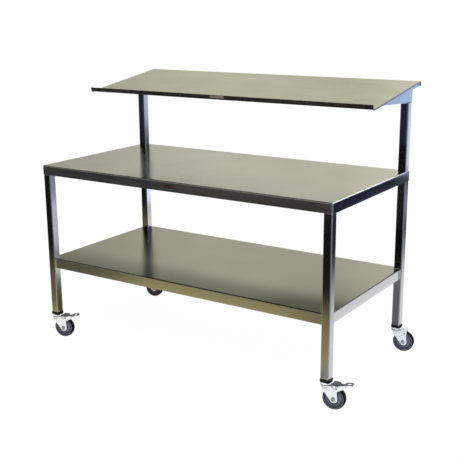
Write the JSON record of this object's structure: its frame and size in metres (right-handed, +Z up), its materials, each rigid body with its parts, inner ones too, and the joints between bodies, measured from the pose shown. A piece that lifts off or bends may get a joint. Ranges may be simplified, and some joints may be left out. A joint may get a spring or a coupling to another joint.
{
  "type": "stainless work table",
  "caption": "Free-standing stainless work table on swivel casters, with a lower shelf and a tilted over-shelf carried on rear uprights; foot brakes on the front casters.",
  "frame": {"origin": "on the floor under the middle of the whole table's bounding box, casters and over-shelf included", "axes": "+X along the table to the right, +Y towards the rear, where the uprights and the over-shelf's high side are, +Z up"},
  "size_m": [1.6202, 0.867, 1.2475],
  "materials": {
    "stainless_sheet": "fine brushed stainless sheet, folded edges",
    "stainless_tube": "polished stainless square tube",
    "zinc_plate": "bright zinc-plated pressed steel",
    "dark_steel": "dark grey coated steel",
    "black_plastic": "black moulded nylon",
    "grey_plastic": "bluish grey moulded wheel centre",
    "black_rubber": "matt black rubber tread"
  },
  "bodies": {
    "frame": {"worktop": "stainless_sheet", "worktop_stiffener_front": "stainless_sheet", "worktop_stiffener_rear": "stainless_sheet", "leg_front_left": "stainless_tube", "leg_pad_front_left": "stainless_sheet", "leg_front_right": "stainless_tube", "leg_pad_front_right": "stainless_sheet", "leg_rear_left": "stainless_tube", "leg_pad_rear_left": "stainless_sheet", "leg_rear_right": "stainless_tube", "leg_pad_rear_right": "stainless_sheet", "lower_shelf": "stainless_sheet", "lower_shelf_stiffener": "stainless_sheet", "upright_left": "stainless_tube", "upright_right": "stainless_tube", "over_shelf": "stainless_sheet", "over_shelf_stiffener": "stainless_sheet", "over_shelf_bracket_left": "stainless_sheet", "over_shelf_bracket_right": "stainless_sheet", "socket_front_left": "black_plastic", "kingpin_front_left": "zinc_plate", "bearing_cup_front_left": "zinc_plate", "swivel_seal_front_left": "black_plastic", "socket_front_right": "black_plastic", "kingpin_front_right": "zinc_plate", "bearing_cup_front_right": "zinc_plate", "swivel_seal_front_right": "black_plastic", "socket_rear_left": "black_plastic", "kingpin_rear_left": "zinc_plate", "bearing_cup_rear_left": "zinc_plate", "swivel_seal_rear_left": "black_plastic", "socket_rear_right": "black_plastic", "kingpin_rear_right": "zinc_plate", "bearing_cup_rear_right": "zinc_plate", "swivel_seal_rear_right": "black_plastic"},
    "swivel_front_left": {"fork_front_left": "zinc_plate", "axle_front_left": "zinc_plate", "brake_pin_front_left": "zinc_plate"},
    "wheel_front_left": {"hub_front_left": "grey_plastic", "tyre_front_left": "black_rubber"},
    "brake_front_left": {"brake_lever_front_left": "dark_steel", "brake_shoe_front_left": "zinc_plate"},
    "swivel_front_right": {"fork_front_right": "zinc_plate", "axle_front_right": "zinc_plate", "brake_pin_front_right": "zinc_plate"},
    "wheel_front_right": {"hub_front_right": "grey_plastic", "tyre_front_right": "black_rubber"},
    "brake_front_right": {"brake_lever_front_right": "dark_steel", "brake_shoe_front_right": "zinc_plate"},
    "swivel_rear_left": {"fork_rear_left": "zinc_plate", "axle_rear_left": "zinc_plate"},
    "wheel_rear_left": {"hub_rear_left": "grey_plastic", "tyre_rear_left": "black_rubber"},
    "swivel_rear_right": {"fork_rear_right": "zinc_plate", "axle_rear_right": "zinc_plate"},
    "wheel_rear_right": {"hub_rear_right": "grey_plastic", "tyre_rear_right": "black_rubber"}
  },
  "joints": [
    {"name": "front_left_swivel", "type": "hinge", "parent": "frame", "child": "swivel_front_left", "pos_m": [-0.78607, -0.40951, 0.1], "axis": [0, 0, 1], "continuous": true},
    {"name": "front_left_roll", "type": "hinge", "parent": "swivel_front_left", "child": "wheel_front_left", "pos_m": [-0.75195, -0.39973, 0.0485], "axis": [-0.2756, 0.9613, 0], "continuous": true},
    {"name": "front_left_brake", "type": "hinge", "parent": "swivel_front_left", "child": "brake_front_left", "pos_m": [-0.74618, -0.39808, 0.1045], "axis": [-0.2756, 0.9613, 0], "range_deg": [0, 10]},
    {"name": "front_right_swivel", "type": "hinge", "parent": "frame", "child": "swivel_front_right", "pos_m": [0.69583, -0.40951, 0.1], "axis": [0, 0, 1], "continuous": true},
    {"name": "front_right_roll", "type": "hinge", "parent": "swivel_front_right", "child": "wheel_front_right", "pos_m": [0.73098, -0.40457, 0.0485], "axis": [-0.1392, 0.9903, 0], "continuous": true},
    {"name": "front_right_brake", "type": "hinge", "parent": "swivel_front_right", "child": "brake_front_right", "pos_m": [0.73693, -0.40374, 0.1045], "axis": [-0.1392, 0.9903, 0], "range_deg": [0, 10]},
    {"name": "rear_left_swivel", "type": "hinge", "parent": "frame", "child": "swivel_rear_left", "pos_m": [-0.78607, 0.31039, 0.1], "axis": [0, 0, 1], "continuous": true},
    {"name": "rear_left_roll", "type": "hinge", "parent": "swivel_rear_left", "child": "wheel_rear_left", "pos_m": [-0.75135, 0.31777, 0.0485], "axis": [-0.2079, 0.9781, 0], "continuous": true},
    {"name": "rear_right_swivel", "type": "hinge", "parent": "frame", "child": "swivel_rear_right", "pos_m": [0.69583, 0.31039, 0.1], "axis": [0, 0, 1], "continuous": true},
    {"name": "rear_right_roll", "type": "hinge", "parent": "swivel_rear_right", "child": "wheel_rear_right", "pos_m": [0.73079, 0.31655, 0.0485], "axis": [-0.1736, 0.9848, 0], "continuous": true}
  ]
}
